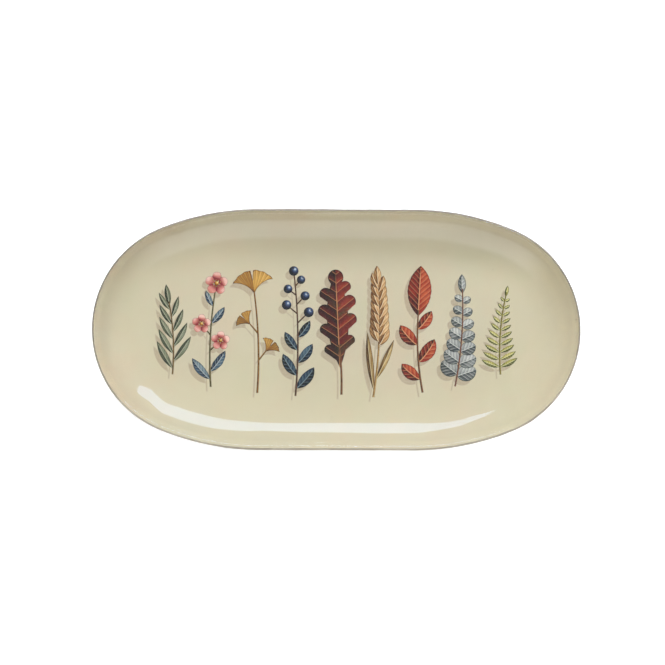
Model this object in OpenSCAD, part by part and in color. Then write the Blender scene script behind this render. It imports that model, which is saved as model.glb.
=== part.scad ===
// Oval trinket tray of clear slumped glass. Cut-paper plant pictures and a cream
// ground paper are glued to the underside of the glass, a dark backing sheet seals
// them in, and a felt pad under the flat of the base keeps the tray off the table.
// Millimetres, +Z up, +X along the tray, +Y to the far side. The origin is the
// middle of the felt pad's underside, so the tray stands on z = 0.

/* [Outline] */
// Length of the tray over the rim
tray_len = 250; // [240:1:270]
// Width of the tray over the rim
tray_wid = 123.2; // [120:0.2:126]
// Radius of the rounded ends, seen from above
end_r = 55.6; // [55:0.1:57]

/* [Glass] */
// Thickness of the glass
glass_t = 3; // [2.4:0.2:3.6]
// Inner radius of the bend that runs up to the rim
bend_r = 26.6; // [23:0.1:28]

/* [Paper and felt] */
// Thickness of the felt pad
felt_t = 1.2; // [0.8:0.1:2]
// How far the felt pad stays inside the flat of the base
felt_inset = 2; // [1:0.5:6]
// Thickness of the backing sheet
backing_t = 0.4; // [0.3:0.05:0.6]
// Thickness of the cream ground paper with its paste
ground_t = 0.4; // [0.3:0.05:0.6]
// Thickness of the cut-paper pictures
picture_t = 0.15; // [0.1:0.01:0.2]
// How far the ground paper stops short of the rounded glass edge
ground_back = 0.6; // [0.3:0.1:1.5]
// How far the backing sheet stops short of the rounded glass edge
backing_back = 0; // [0:0.1:1]

/* [Pictures] */
// Size of the plant pictures against the flat of the base
picture_size = 1; // [0.85:0.01:1]
// Shift of each picture's printed shadow to the left
shadow_x = 2; // [0.6:0.1:2.2]
// Shift of each picture's printed shadow downwards
shadow_y = 2.3; // [0.6:0.1:2.4]

/* [Hidden] */
$fn = 96;

// outline: two end arcs, four shoulder arcs and two straight sides, all tangent;
// an end meets its shoulders along lines of slope 12 in 5, so that every centre
// falls on a round figure
half_l = tray_len / 2;
half_w = tray_wid / 2;
end_x = half_l - end_r;
ease = half_w - end_r;
shoulder_r = end_r + 13 * ease;
shoulder_x = end_x - 5 * ease;
shoulder_y = -12 * ease;

// heights, from the table up
z_backing = felt_t;
z_ground = z_backing + backing_t;
z_glass = z_ground + ground_t;
z_bend = z_glass + glass_t + bend_r;

// the bend ends at a slope of 4 in 3, and the flat of the base lies this far inside
// the rim
rim_angle = atan2(4, 3);
bend_mid = bend_r + glass_t / 2;
bend_out = bend_r + glass_t;
flat_inset = bend_mid * 0.8 + glass_t / 2;
flat_l = half_l - flat_inset;
flat_w = half_w - flat_inset;

// pictures keep their shape and grow with the flat of the base
pic = picture_size * min(flat_w / 37.6, flat_l / 101);
pitch = 21 * (flat_l / 101);

// ---------------------------------------------------------------- outline shapes

// the wedge of one end and the wedge of one shoulder, as areas
module end_area() polygon([[end_x, 0], [end_x + 50, -120], [end_x + 150, -120],
    [end_x + 150, 120], [end_x + 50, 120]]);
module shoulder_area() polygon([[shoulder_x, 0], [end_x, 0], [end_x + 50, 120],
    [shoulder_x, 120]]);

// the outline moved inwards by d
module oval(d) {
    square([2 * shoulder_x, tray_wid - 2 * d], center = true);
    for (sx = [0, 1]) mirror([sx, 0]) {
        intersection() {
            translate([end_x, 0]) circle(end_r - d);
            end_area();
        }
        for (sy = [0, 1]) mirror([0, sy]) intersection() {
            translate([shoulder_x, shoulder_y]) circle(shoulder_r - d);
            shoulder_area();
        }
    }
}

// carries the profile given as children around the outline; in the profile the
// rim's outermost point is x = 0, inwards is -x, and y is the height
module around() {
    for (sx = [0, 1]) mirror([sx, 0, 0]) {
        intersection() {
            translate([end_x, 0, 0]) rotate_extrude() translate([end_r, 0]) children();
            linear_extrude(40) end_area();
        }
        for (sy = [0, 1]) mirror([0, sy, 0]) intersection() {
            translate([shoulder_x, shoulder_y, 0])
                rotate_extrude() translate([shoulder_r, 0]) children();
            linear_extrude(40) shoulder_area();
        }
    }
    for (sy = [0, 1]) mirror([0, sy, 0])
        translate([-shoulder_x, half_w, 0]) rotate([90, 0, 90])
            linear_extrude(2 * shoulder_x) children();
}

// part of the bend between two radii, from the flat of the base up to the rim,
// short of the bend's end by a length
module bend(r0, r1, short = 0) {
    angle = rim_angle - short / r0 * 180 / PI;
    end = short == 0 ? [80, -60] : [100 * sin(angle), -100 * cos(angle)];
    translate([-flat_inset, z_bend]) intersection() {
        difference() {
            circle(r1);
            circle(r0);
        }
        polygon([[0, 0], [0, -100], [45, -100], end]);
    }
}

// the flat of the base between two heights
module flat(z0, z1) translate([0, 0, z0]) linear_extrude(z1 - z0) oval(flat_inset);

// ---------------------------------------------------------------- glass and layers

module glass_tray() color([0.86, 0.90, 0.87, 0.45]) {
    flat(z_glass, z_glass + glass_t);
    around() {
        bend(bend_r, bend_out);
        // polished round edge
        translate([-flat_inset + bend_mid * 0.8, z_bend - bend_mid * 0.6]) intersection() {
            circle(glass_t / 2);
            polygon([[8, -6], [14, 2], [-2, 14], [-8, 6]]);
        }
    }
}

// cream paper over the whole underside, with a shallow recess under the flat of
// the glass in which the cut-paper pictures lie
module ground_paper() color([0.83, 0.80, 0.69]) difference() {
    union() {
        flat(z_ground, z_glass);
        around() bend(bend_out, bend_out + ground_t, ground_back);
    }
    translate([0, 0, z_glass - picture_t]) linear_extrude(1) oval(flat_inset + 0.3);
}

module backing_sheet() color([0.16, 0.12, 0.09]) {
    r0 = bend_out + ground_t;
    flat(z_backing, z_ground);
    around() bend(r0, r0 + backing_t, backing_back);
}

module felt_pad() color([0.17, 0.16, 0.14])
    linear_extrude(felt_t) oval(flat_inset + felt_inset);

// ---------------------------------------------------------------- plant pictures

// a stem is an arc of length l that turns through the angle b, with both its ends
// on x = 0; the heading and the place of its point at the length t
function heading(t, l, b) = b * (t / l - 0.5);
function spot(t, l, b) = let (r = l / b * 180 / PI, h = heading(t, l, b))
    [r * (cos(h) - cos(b / 2)), r * (sin(h) + sin(b / 2))];

// the place at a length d from p along angle a from +Y
function out(p, a, d) = p + d * [-sin(a), cos(a)];

module stem(l, b, w) {
    r = l / abs(b) * 180 / PI;
    x = r * cos(b / 2);
    y = r * sin(abs(b) / 2);
    mirror([b < 0 ? 1 : 0, 0]) translate([-x, y]) intersection() {
        difference() {
            circle(r + w / 2, $fn = 360);
            circle(r - w / 2, $fn = 360);
        }
        polygon([[0, 0], [2 * x, -2 * y], [2 * x, 2 * y]]);
    }
}

// a leaf of two arcs from p along angle a from +Y; it swells by s1 on its left and
// by s2 on its right
module leaf(p, a, l, s1, s2) {
    r1 = (l * l / 4 + s1 * s1) / (2 * s1);
    r2 = (l * l / 4 + s2 * s2) / (2 * s2);
    translate(p) rotate(a) translate([0, l / 2]) intersection() {
        translate([r1 - s1, 0]) circle(r1);
        translate([s2 - r2, 0]) circle(r2);
    }
}

// a leaf on a stem at the length t, turned away from it by the angle a: it swells
// by s on its outer side and by 0.6 of that on its inner side
module side_leaf(t, l, b, a, len, s)
    leaf(spot(t, l, b), heading(t, l, b) + a, len, a > 0 ? s : 0.6 * s, a > 0 ? 0.6 * s : s);

// a straight stalk from p along angle a from +Y
module stalk(p, a, l, w = 0.8) translate(p) rotate(a) translate([-w / 2, 0]) square([w, l]);

// a fan-shaped leaf with hollow sides and a notch, its point at p; its sides leave
// the point at the angle neck and reach the outer edge at the angle half
module fan(p, a, r, half, neck = 24) {
    side = r / (2 * sin(half - neck));
    translate(p) rotate(a) difference() {
        intersection() {
            circle(r);
            translate([-r, 0]) square([2 * r, r]);
        }
        for (s = [-1, 1]) translate([s * side * cos(neck), -side * sin(neck)]) circle(side);
        polygon([[0, r * 0.55], [-r * 0.07, r * 1.1], [r * 0.07, r * 1.1]]);
    }
}

// five round petals about p
module flower(p, r) translate(p) {
    circle(r * 0.8);
    for (i = [0:4]) rotate(i * 72) translate([0, r]) circle(r * 0.68);
}

// one cut-out: the plant given as children with its printed shadow, standing at
// place i of the row with height h, leaning by an angle
module cutout(i, h, lean = 0)
    translate([i * pitch, 0, z_glass - picture_t]) linear_extrude(picture_t)
        for (s = [0, 1]) translate([-s * shadow_x, -s * shadow_y])
            scale(pic) rotate(lean) translate([0, -h / 2]) children();

module willow_cutout() color([0.33, 0.35, 0.27]) cutout(-4.1, 47, 3) {
    stem(38, 16, 0.9);
    for (i = [0:8])
        side_leaf(3 + 3.8 * i, 38, 16, (i % 2 == 0 ? 1 : -1) * (34 - 1.2 * i), 16.5 - 0.7 * i, 2.3 - 0.08 * i);
    leaf(spot(36, 38, 16), 7, 11, 1.6, 1.5);
}

module blossom_cutout() color([0.72, 0.45, 0.42]) cutout(-3.02, 60, -3) {
    stem(54, -14, 1);
    for (q = [[4, 38, 14.5, 3], [8, -38, 13.5, 2.9], [33, -34, 11, 2.4], [42, 32, 9, 2]])
        side_leaf(q[0], 54, -14, q[1], q[2], q[3]);
    for (q = [[27, 42], [19, -46]]) {
        a = heading(q[0], 54, -14) + q[1];
        stalk(spot(q[0], 54, -14), a, 7.5);
        flower(out(spot(q[0], 54, -14), a, 7.5), 3);
    }
    flower(spot(54, 54, -14), 3.6);
}

module ginkgo_cutout() color([0.58, 0.40, 0.13]) cutout(-2, 66, 2) {
    stem(53, 12, 1.1);
    fan(spot(51.5, 53, 12), 5, 12.6, 58);
    for (q = [[31, 38, 6.5, 44], [17, -38, 6, -42]]) {
        a = heading(q[0], 53, 12) + q[1];
        stalk(spot(q[0], 53, 12), a, q[2], 0.9);
        fan(out(spot(q[0], 53, 12), a, q[2] - 0.6), q[3], 7.6, 50);
    }
}

module berry_cutout() color([0.07, 0.13, 0.20]) cutout(-1.03, 69, 1) {
    stem(65, 12, 1);
    for (i = [0:4])
        side_leaf(4 + 6.6 * i, 65, 12, (i % 2 == 0 ? -1 : 1) * 36, 14.4 - 0.9 * i, 3.6 - 0.22 * i);
    for (i = [0:4]) {
        a = heading(38 + 4.8 * i, 65, 12) + (i % 2 == 0 ? -1 : 1) * 48;
        p = spot(38 + 4.8 * i, 65, 12);
        stalk(p, a, 8 - 0.9 * i);
        translate(out(p, a, 8 - 0.9 * i)) circle(2.6 - 0.1 * i);
    }
    translate(spot(65, 65, 12)) circle(2.5);
}

module oak_cutout() color([0.33, 0.10, 0.10]) cutout(0.05, 67.5, 3) {
    stem(26, 10, 1.2);
    leaf([0, 14], 0, 50.5, 5.6, 5.6);
    for (q = [[1, 20, 6.2, 2.7], [1, 29.5, 8, 3.1], [1, 39, 8.2, 3.4], [1, 48.5, 7, 3.2],
              [-1, 24, 7, 2.8], [-1, 34, 8.2, 3.3], [-1, 43.5, 8, 3.4], [-1, 52.5, 5.8, 3]]) {
        stalk([0, q[1]], q[0] * 54, q[2], 1.84 * q[3]);
        translate(out([0, q[1]], q[0] * 54, q[2])) circle(q[3]);
    }
    translate([0, 61]) circle(4);
}

module wheat_cutout() color([0.68, 0.49, 0.32]) cutout(0.98, 70, -2) {
    stem(62, 14, 1.1);
    for (i = [0:6], s = [-1, 1])
        side_leaf(28 + 4.6 * i + s * 0.9, 62, 14, s * (22 - 0.6 * i), 11 - 0.35 * i, 3 - 0.1 * i);
    leaf(spot(58.5, 62, 14), 7, 10, 2, 2);
    side_leaf(3, 62, 14, 15, 31, 2.2);
    side_leaf(9, 62, 14, -17, 23, 2);
}

module beech_cutout() color([0.53, 0.16, 0.10]) cutout(2.06, 65, 3) {
    stem(43, -16, 1.1);
    for (q = [[7, 42, 12.6, 4.2], [16, -40, 14.5, 4.6], [25, 40, 13.5, 4.5], [33, -36, 12, 3.8]])
        side_leaf(q[0], 43, -16, q[1], q[2], q[3]);
    leaf(spot(40, 43, -16), -6, 26, 6.3, 6.3);
}

module eucalyptus_cutout() color([0.55, 0.56, 0.54]) cutout(3.04, 58.5, -4) {
    stem(51, 14, 0.9);
    for (i = [0:6], s = [-1, 1]) {
        l = 10.4 - 0.95 * i;
        leaf(spot(6 + 6.4 * i + s * 0.5, 51, 14), heading(6 + 6.4 * i, 51, 14) + s * 62, l, 0.42 * l, 0.42 * l);
    }
    leaf(spot(48.5, 51, 14), 6, 10, 2.2, 2);
}

module fern_cutout() color([0.62, 0.58, 0.28]) cutout(4.14, 46, -4) {
    stem(43, -18, 0.9);
    for (i = [0:9], s = [-1, 1])
        side_leaf(4 + 3.8 * i, 43, -18, s * (66 - 1.6 * i), 10.2 - 0.8 * i, 1.9 - 0.09 * i);
    leaf(spot(40.5, 43, -18), -8, 6, 1, 1);
}

glass_tray();
ground_paper();
backing_sheet();
felt_pad();
willow_cutout();
blossom_cutout();
ginkgo_cutout();
berry_cutout();
oak_cutout();
wheat_cutout();
beech_cutout();
eucalyptus_cutout();
fern_cutout();
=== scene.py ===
import math

import bpy
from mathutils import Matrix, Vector, noise


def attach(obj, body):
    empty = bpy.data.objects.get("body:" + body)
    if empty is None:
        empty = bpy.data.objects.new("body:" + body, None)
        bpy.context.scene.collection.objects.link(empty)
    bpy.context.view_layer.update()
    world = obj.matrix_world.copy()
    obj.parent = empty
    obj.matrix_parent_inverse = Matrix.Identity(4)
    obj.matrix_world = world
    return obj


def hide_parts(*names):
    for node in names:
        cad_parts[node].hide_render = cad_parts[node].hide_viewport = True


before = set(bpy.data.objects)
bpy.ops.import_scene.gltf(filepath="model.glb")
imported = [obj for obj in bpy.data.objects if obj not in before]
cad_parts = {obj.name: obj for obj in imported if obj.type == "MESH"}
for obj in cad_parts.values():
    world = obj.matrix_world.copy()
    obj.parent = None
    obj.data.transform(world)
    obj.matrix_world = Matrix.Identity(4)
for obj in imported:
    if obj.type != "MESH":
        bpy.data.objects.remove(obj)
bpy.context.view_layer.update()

MM = 0.001

# ------------------------------------------------------------------ shared sizes, mm
HALF_L, HALF_W, END_R = 125.0, 61.6, 55.6
END_X = HALF_L - END_R
EASE = HALF_W - END_R
SH_R, SH_X, SH_Y = END_R + 13 * EASE, END_X - 5 * EASE, -12 * EASE
GLASS_T, BEND_R = 3.0, 26.6
BEND_MID, BEND_OUT = BEND_R + GLASS_T / 2, BEND_R + GLASS_T
INSET = BEND_MID * 0.8 + GLASS_T / 2
RIM = math.atan2(4, 3)
FELT_T, BACK_T, GROUND_T = 1.2, 0.4, 0.4
Z_BACK = FELT_T
Z_GROUND = Z_BACK + BACK_T
Z_GLASS = Z_GROUND + GROUND_T
Z_BEND = Z_GLASS + GLASS_T + BEND_R
FELT_INSET = 2.0


def n3(x, y, z=0.0):
    return noise.noise(Vector((x, y, z)))


def smooth(x, a, b):
    f = min(1.0, max(0.0, (x - a) / (b - a)))
    return f * f * (3 - 2 * f)


def srgb(r, g, b):
    def lin(c):
        c /= 255.0
        return c / 12.92 if c <= 0.04045 else ((c + 0.055) / 1.055) ** 2.4
    return (lin(r), lin(g), lin(b), 1.0)


# ------------------------------------------------------------------ outline
def outline(n):
    """n points round the rim with their outward normals, counter-clockwise from +X, evenly spaced."""
    phi = math.atan2(12, 5)
    arcs = []                       # (length, point and normal at t in 0..1)
    def arc(cx, cy, r, a0, a1):
        def at(t):
            a = a0 + (a1 - a0) * t
            return (cx + r * math.cos(a), cy + r * math.sin(a)), (math.cos(a), math.sin(a))
        arcs.append((abs(r * (a1 - a0)), at))
    def line(x0, x1, y, ny):
        arcs.append((abs(x1 - x0), lambda t: ((x0 + (x1 - x0) * t, y), (0.0, ny))))
    arc(END_X, 0, END_R, 0, phi)
    arc(SH_X, SH_Y, SH_R, phi, math.pi / 2)
    line(SH_X, -SH_X, HALF_W, 1.0)
    arc(-SH_X, SH_Y, SH_R, math.pi / 2, math.pi - phi)
    arc(-END_X, 0, END_R, math.pi - phi, math.pi + phi)
    arc(-SH_X, -SH_Y, SH_R, math.pi + phi, 1.5 * math.pi)
    line(-SH_X, SH_X, -HALF_W, -1.0)
    arc(SH_X, -SH_Y, SH_R, 1.5 * math.pi, 2 * math.pi - phi)
    arc(END_X, 0, END_R, -phi, 0)
    total = sum(a[0] for a in arcs)
    out, k, done = [], 0, 0.0
    for i in range(n):
        d = total * i / n
        while d > done + arcs[k][0]:
            done += arcs[k][0]
            k += 1
        out.append(arcs[k][1]((d - done) / arcs[k][0]))
    return out


def new_object(name, verts, faces, mats, face_mats=None, smooth=True, attrs=None):
    me = bpy.data.meshes.new(name)
    me.from_pydata([(x * MM, y * MM, z * MM) for x, y, z in verts], [], faces)
    for m in mats:
        me.materials.append(m)
    if face_mats:
        me.polygons.foreach_set("material_index", face_mats)
    me.polygons.foreach_set("use_smooth", [smooth] * len(faces))
    for key, vals in (attrs or {}).items():
        me.attributes.new(key, "FLOAT", "POINT").data.foreach_set("value", vals)
    me.update()
    me.validate()
    o = bpy.data.objects.new(name, me)
    bpy.context.scene.collection.objects.link(o)
    return o


def lathe(rows, n):
    """Faces of a closed skin: rows of n points from one centre point to another."""
    faces = []
    last = len(rows) - 1
    start, k = [], 0
    for r in rows:
        start.append(k)
        k += len(r)
    for j in range(last):
        a, b = start[j], start[j + 1]
        if len(rows[j]) == 1:
            faces += [(a, b + i, b + (i + 1) % n) for i in range(n)]
        elif len(rows[j + 1]) == 1:
            faces += [(a + i, b, a + (i + 1) % n) for i in range(n)]
        else:
            faces += [(a + i, b + i, b + (i + 1) % n, a + (i + 1) % n) for i in range(n)]
    return [p for r in rows for p in r], faces


# ------------------------------------------------------------------ material helpers
class Nodes:
    def __init__(self, name):
        self.mat = bpy.data.materials.new(name)
        self.mat.use_nodes = True
        self.t = self.mat.node_tree
        self.t.nodes.clear()
        self.out = self.t.nodes.new("ShaderNodeOutputMaterial")
        self.bsdf = self.t.nodes.new("ShaderNodeBsdfPrincipled")
        self.t.links.new(self.bsdf.outputs[0], self.out.inputs[0])

    def put(self, kind, **sets):
        n = self.t.nodes.new(kind)
        for k, v in sets.items():
            setattr(n, k, v)
        return n

    def feed(self, socket, value):
        if isinstance(value, bpy.types.NodeSocket):
            self.t.links.new(value, socket)
        else:
            socket.default_value = value

    def pos(self):
        c = self.put("ShaderNodeTexCoord")
        return c.outputs["Object"]

    def attr(self, name):
        return self.put("ShaderNodeAttribute", attribute_name=name).outputs["Fac"]

    def math(self, op, a, b=None, c=None, clamp=False):
        n = self.put("ShaderNodeMath", operation=op, use_clamp=clamp)
        self.feed(n.inputs[0], a)
        if b is not None:
            self.feed(n.inputs[1], b)
        if c is not None:
            self.feed(n.inputs[2], c)
        return n.outputs[0]

    def total(self, start, *parts):
        """start and then each value times its weight."""
        for value, weight in parts:
            start = self.math("MULTIPLY_ADD", value, weight, start)
        return start

    def noise(self, scale, detail=2.0, rough=0.5, vec=None, distort=0.0):
        n = self.put("ShaderNodeTexNoise")
        self.feed(n.inputs["Vector"], vec or self.pos())
        n.inputs["Scale"].default_value = scale
        n.inputs["Detail"].default_value = detail
        n.inputs["Roughness"].default_value = rough
        n.inputs["Distortion"].default_value = distort
        return n.outputs["Fac"]

    def ramp(self, fac, a, b, lo=0.0, hi=1.0):
        n = self.put("ShaderNodeMapRange")
        n.interpolation_type = "SMOOTHSTEP"
        self.feed(n.inputs["Value"], fac)
        n.inputs["From Min"].default_value = a
        n.inputs["From Max"].default_value = b
        n.inputs["To Min"].default_value = lo
        n.inputs["To Max"].default_value = hi
        return n.outputs[0]

    def mix(self, fac, a, b, mode="MIX"):
        n = self.put("ShaderNodeMix", data_type="RGBA", blend_type=mode)
        self.feed(n.inputs[0], fac)
        self.feed(n.inputs[6], a)
        self.feed(n.inputs[7], b)
        return n.outputs[2]

    def bump(self, height, strength, dist):
        n = self.put("ShaderNodeBump")
        n.inputs["Strength"].default_value = strength
        n.inputs["Distance"].default_value = dist
        self.feed(n.inputs["Height"], height)
        self.feed(self.bsdf.inputs["Normal"], n.outputs[0])

    def set(self, **vals):
        for k, v in vals.items():
            self.feed(self.bsdf.inputs[k.replace("_", " ")], v)
        return self.mat


# ------------------------------------------------------------------ materials
def clear_glass():
    m = Nodes("clear_glass")
    scratch = m.noise(900, 3, 0.6)
    haze = m.ramp(m.noise(60, 3, 0.6), 0.35, 0.75, 0.012, 0.035)
    m.bump(scratch, 0.05, 0.00002)
    return m.set(Base_Color=(0.985, 0.992, 0.985, 1), Roughness=haze, IOR=1.5, Transmission_Weight=1.0)


def ground_edge():
    """The outer half of the rim's edge, seamed with a stone and left a dull grey."""
    m = Nodes("ground_glass_edge")
    m.bump(m.noise(900, 3, 0.6), 0.25, 0.00006)
    rough = m.ramp(m.noise(90, 3, 0.6), 0.3, 0.7, 0.55, 0.75)
    patch = m.ramp(m.noise(55, 4, 0.65), 0.35, 0.7)
    col = m.mix(patch, srgb(160, 152, 135), srgb(136, 128, 113))
    chip = m.ramp(m.noise(420, 3, 0.7), 0.6, 0.72)
    col = m.mix(m.math("MULTIPLY", chip, 0.5), col, srgb(190, 183, 168))
    y = m.put("ShaderNodeSeparateXYZ")
    m.feed(y.inputs[0], m.pos())
    far_darkening = m.ramp(y.outputs[1], -0.050, 0.010, 0.0, 0.72)           # darker towards the far side
    col = m.mix(far_darkening, col, srgb(96, 89, 76))
    return m.set(Base_Color=col, Roughness=rough, IOR=1.5, Specular_IOR_Level=0.15)


CREAM = srgb(214, 206, 178)


def cream_paper():
    m = Nodes("cream_paper")
    z = m.put("ShaderNodeSeparateXYZ")
    m.feed(z.inputs[0], m.pos())
    up = m.ramp(z.outputs[2], 0.0026, 0.0125)                       # 0 on the flat, 1 at the rim
    broad = m.ramp(m.noise(14, 4, 0.62), 0.32, 0.72)
    col = m.mix(m.math("MULTIPLY", broad, 0.35), CREAM, srgb(208, 198, 168))
    # slow pinkish, greenish and pale clouds in the old paper
    shift = m.put("ShaderNodeMapping")
    m.feed(shift.inputs["Vector"], m.pos())
    shift.inputs["Location"].default_value = (0.31, 0.17, 0.0)
    moved = shift.outputs[0]
    pink = m.ramp(m.noise(42, 3, 0.6), 0.46, 0.70)
    col = m.mix(m.math("MULTIPLY", pink, 0.50), col, srgb(216, 199, 172))
    green = m.ramp(m.noise(36, 3, 0.6, moved), 0.48, 0.72)
    col = m.mix(m.math("MULTIPLY", green, 0.45), col, srgb(207, 204, 172))
    pale = m.ramp(m.noise(30, 4, 0.6), 0.55, 0.8)
    col = m.mix(m.math("MULTIPLY", pale, 0.3), col, srgb(224, 217, 194))
    # the rim has toned to a pinkish tan, in blotches and in streaks that run along it
    blotch = m.ramp(m.noise(46, 5, 0.68, distort=0.4), 0.42, 0.72)
    near = m.ramp(z.outputs[1], -0.056, -0.030, 0.15, 1.0)          # less so along the long sides
    far = m.ramp(z.outputs[1], 0.030, 0.056, 1.0, 0.6)
    tone = m.math("MULTIPLY", m.math("MULTIPLY", up, m.math("MULTIPLY", near, far)), m.math("MULTIPLY_ADD", blotch, 0.40, 0.16))
    col = m.mix(tone, col, srgb(216, 192, 158))
    run = m.put("ShaderNodeMapping")
    m.feed(run.inputs["Vector"], m.pos())
    run.inputs["Scale"].default_value = (0.16, 1.0, 1.0)
    streak = m.ramp(m.noise(260, 3, 0.6, run.outputs[0]), 0.48, 0.72)
    col = m.mix(m.math("MULTIPLY", m.math("MULTIPLY", streak, up), 0.32), col, srgb(222, 212, 178))
    stain = m.ramp(m.noise(24, 4, 0.7, moved), 0.60, 0.76)
    col = m.mix(m.math("MULTIPLY", m.math("MULTIPLY", stain, up), 0.45), col, srgb(186, 164, 124))
    # painted light: the rim is painted paler towards the right, less so on the near side
    right = m.math("MULTIPLY", m.ramp(z.outputs[2], 0.0035, 0.0080), m.ramp(z.outputs[0], -0.090, 0.020, 0.10, 1.0))
    right = m.math("MULTIPLY", right, m.ramp(z.outputs[1], -0.052, -0.018, 0.55, 1.0))
    col = m.mix(m.math("MULTIPLY", right, 0.32), col, srgb(236, 224, 190))
    # painted shade: a faint dark strip painted above the pictures
    painted_shade_strip = m.math("MULTIPLY", m.ramp(z.outputs[1], 0.026, 0.042), m.ramp(z.outputs[1], 0.059, 0.048))
    off = m.math("ABSOLUTE", m.math("SUBTRACT", z.outputs[0], 0.018))
    painted_shade_strip = m.math("MULTIPLY", painted_shade_strip, m.ramp(off, 0.085, 0.045, 0.25, 1.0))
    col = m.mix(m.math("MULTIPLY", painted_shade_strip, 0.24), col, srgb(150, 141, 115))
    fibre = m.ramp(m.noise(900, 3, 0.7), 0.35, 0.7)
    col = m.mix(m.math("MULTIPLY", fibre, 0.10), col, srgb(186, 176, 146))
    speck = m.put("ShaderNodeTexVoronoi", feature="F1")
    m.feed(speck.inputs["Vector"], m.pos())
    speck.inputs["Scale"].default_value = 210
    dot = m.ramp(speck.outputs["Distance"], 0.10, 0.06)
    keep = m.ramp(m.noise(70, 1, 0.5), 0.62, 0.68)
    col = m.mix(m.math("MULTIPLY", m.math("MULTIPLY", dot, keep), 0.35), col, srgb(150, 128, 92))
    m.bump(fibre, 0.15, 0.00004)
    return m.set(Base_Color=col, Roughness=0.82)


def dark_backing():
    m = Nodes("dark_backing")
    a = m.ramp(m.noise(38, 5, 0.65, distort=0.5), 0.3, 0.75)
    col = m.mix(a, srgb(44, 33, 25), srgb(66, 50, 37))
    fibre = m.noise(700, 4, 0.7)
    col = m.mix(m.math("MULTIPLY", m.ramp(fibre, 0.4, 0.75), 0.35), col, srgb(92, 74, 56))
    wear = m.ramp(m.noise(120, 5, 0.75), 0.62, 0.78)
    col = m.mix(m.math("MULTIPLY", wear, 0.4), col, srgb(112, 92, 70))
    rough = m.ramp(m.noise(50, 4, 0.6), 0.3, 0.7, 0.38, 0.62)
    m.bump(m.math("ADD", fibre, m.math("MULTIPLY", a, 2.0)), 0.35, 0.00012)
    return m.set(Base_Color=col, Roughness=rough)


def felt():
    m = Nodes("felt")
    f = m.noise(620, 5, 0.75, distort=1.2)
    col = m.mix(m.ramp(f, 0.3, 0.72), srgb(38, 36, 33), srgb(82, 78, 72))
    g = m.ramp(m.noise(45, 3, 0.6), 0.35, 0.7)
    col = m.mix(m.math("MULTIPLY", g, 0.4), col, srgb(58, 54, 49))
    m.bump(f, 0.8, 0.0004)
    return m.set(Base_Color=col, Roughness=0.95)


def cut_edge():
    m = Nodes("cut_paper_edge")
    f = m.noise(900, 3, 0.6)
    return m.set(Base_Color=m.mix(f, srgb(226, 218, 196), srgb(196, 186, 158)), Roughness=0.85)


def shade_ink():
    """The pale printed shadow beside each plant."""
    m = Nodes("printed_shadow")
    g = m.ramp(m.noise(1100, 2, 0.6), 0.3, 0.7)
    col = m.mix(g, srgb(185, 170, 144), srgb(194, 180, 154))
    soft = m.ramp(m.attr("edge"), -0.1, 0.45)
    col = m.mix(soft, srgb(207, 198, 171), col)
    return m.set(Base_Color=col, Roughness=0.8)


def shaded(m, tone, light, mid, dark):
    """A printed colour for a tone from 0, in the light, to 1, in the dark."""
    col = m.mix(m.ramp(tone, 0.0, 0.5), light, mid)
    return m.mix(m.ramp(tone, 0.45, 1.0), col, dark)


def printed(m, col, dark, edge, width=0.30):
    """Closes a printed shape: a dark outline, worn and grainy ink on paper."""
    ink = tuple(c * 0.4 for c in dark[:3]) + (1.0,)
    worn = m.ramp(m.noise(340, 3, 0.6), 0.25, 0.6, 0.35, 0.85)
    col = m.mix(m.math("MULTIPLY", m.ramp(edge, width, width * 0.25), worn), col, ink)
    grain = m.ramp(m.noise(1500, 2, 0.6), 0.42, 0.74)
    col = m.mix(m.math("MULTIPLY", grain, 0.05), col, srgb(222, 212, 184))
    return m.set(Base_Color=col, Roughness=0.75)


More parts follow.
